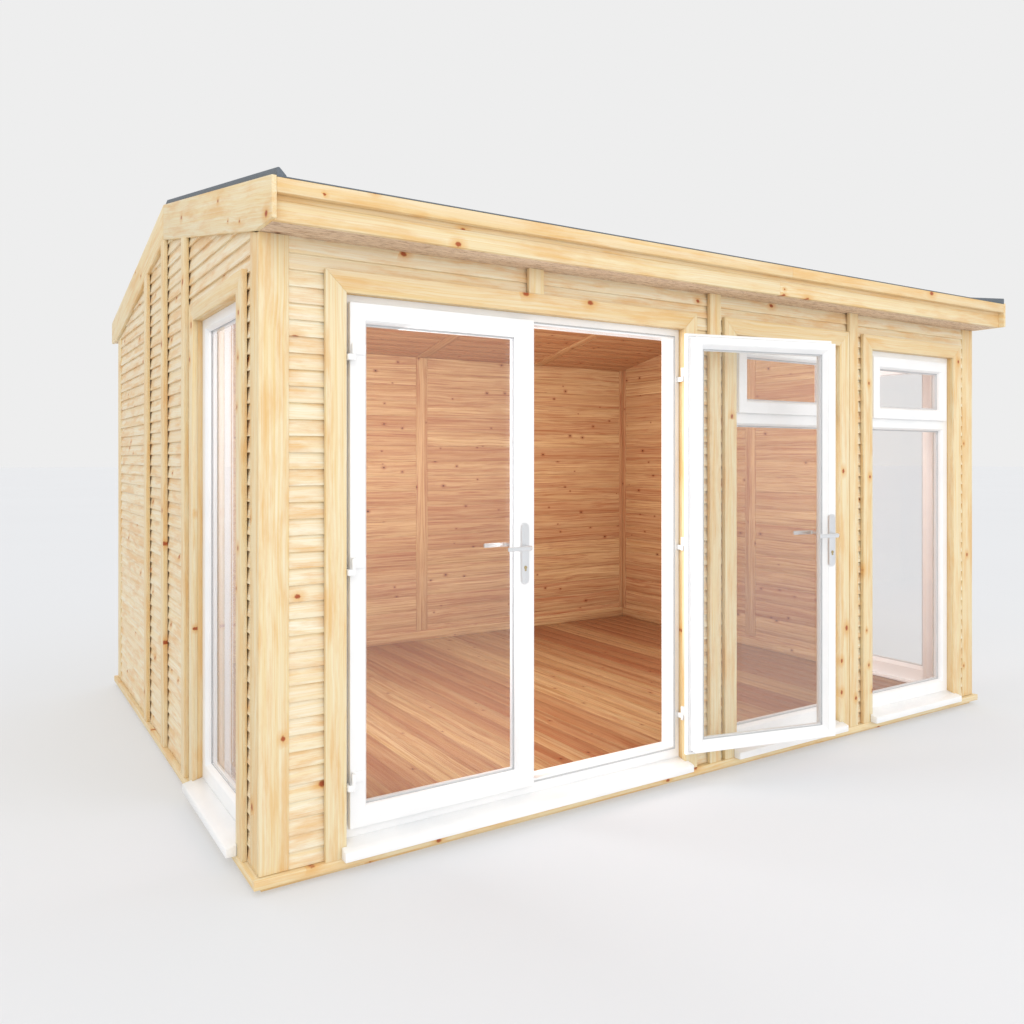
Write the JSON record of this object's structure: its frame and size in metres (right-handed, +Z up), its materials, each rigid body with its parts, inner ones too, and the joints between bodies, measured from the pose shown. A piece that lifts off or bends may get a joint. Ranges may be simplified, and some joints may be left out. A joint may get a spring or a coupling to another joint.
{
  "type": "garden office pod",
  "caption": "Timber garden office pod with a pitched felt roof, lapped cladding, glazed double doors that open outwards and tall windows in the front and ends.",
  "frame": {"origin": "centre of the plan of the walls, on the ground under the floor bearers", "axes": "+X along the front to the right seen from outside the doors, +Y from front to back, +Z up"},
  "size_m": [4.11, 3.5059, 2.5697],
  "materials": {
    "cladding_pine": "clear-treated softwood, planed",
    "lining_pine": "red-brown stained softwood lining",
    "white_pvc": "white extruded PVC-U, semi-gloss",
    "clear_glass": "sealed double glazing",
    "satin_steel": "satin",
    "grey_membrane": "matt grey roofing membrane"
  },
  "bodies": {
    "building": {"front_back_bearers": "cladding_pine", "cross_bearers": "cladding_pine", "floor_panel": "cladding_pine", "floorboards": "lining_pine", "front_wall_left": "cladding_pine", "front_wall_middle": "cladding_pine", "front_wall_between_windows": "cladding_pine", "front_wall_right": "cladding_pine", "front_wall_header": "cladding_pine", "left_wall": "cladding_pine", "right_wall": "cladding_pine", "back_wall": "cladding_pine", "front_back_corner_boards": "cladding_pine", "side_corner_boards": "cladding_pine", "front_battens": "cladding_pine", "side_battens": "cladding_pine", "back_battens": "cladding_pine", "door_surround": "cladding_pine", "front_window_surrounds": "cladding_pine", "side_window_surrounds": "cladding_pine", "door_frame": "white_pvc", "door_sill": "white_pvc", "frame_hinges": "white_pvc", "front_window_frames": "white_pvc", "front_window_vents": "white_pvc", "front_window_glass": "clear_glass", "front_window_sills": "white_pvc", "side_window_frames": "white_pvc", "side_window_glass": "clear_glass", "side_window_sills": "white_pvc", "fascia_boards": "cladding_pine", "fascia_cap_strips": "cladding_pine", "soffit_boards": "cladding_pine", "bargeboards": "cladding_pine", "front_roof_panel": "lining_pine", "back_roof_panel": "lining_pine", "roof_membrane": "grey_membrane", "verge_kerbs": "grey_membrane", "skirting_boards": "lining_pine", "wall_cover_strips": "lining_pine", "ceiling_cover_strips": "lining_pine"},
    "left_door": {"left_door_leaf": "white_pvc", "left_door_glass": "clear_glass", "left_door_hinges": "white_pvc", "left_door_backplates": "satin_steel"},
    "right_door": {"right_door_leaf": "white_pvc", "right_door_glass": "clear_glass", "right_door_hinges": "white_pvc", "right_door_backplates": "satin_steel"},
    "left_levers": {"left_door_levers": "satin_steel"},
    "right_levers": {"right_door_levers": "satin_steel"}
  },
  "joints": [
    {"name": "left_door_swing", "type": "hinge", "parent": "building", "child": "left_door", "pos_m": [-1.692, -1.526, 0], "axis": [0, 0, -1], "range_deg": [0, 167]},
    {"name": "right_door_swing", "type": "hinge", "parent": "building", "child": "right_door", "pos_m": [-0.222, -1.526, 0], "axis": [0, 0, 1], "range_deg": [-167, 0]},
    {"name": "left_lever_turn", "type": "hinge", "parent": "left_door", "child": "left_levers", "pos_m": [-1.0045, -1.47, 1.041], "axis": [0, -1, 0], "range_deg": [-40, 40], "stiffness_Nm_per_rad": 6},
    {"name": "right_lever_turn", "type": "hinge", "parent": "right_door", "child": "right_levers", "pos_m": [0.43528, -1.73522, 1.041], "axis": [-0.225, -0.9744, 0], "range_deg": [-40, 40], "stiffness_Nm_per_rad": 6}
  ]
}
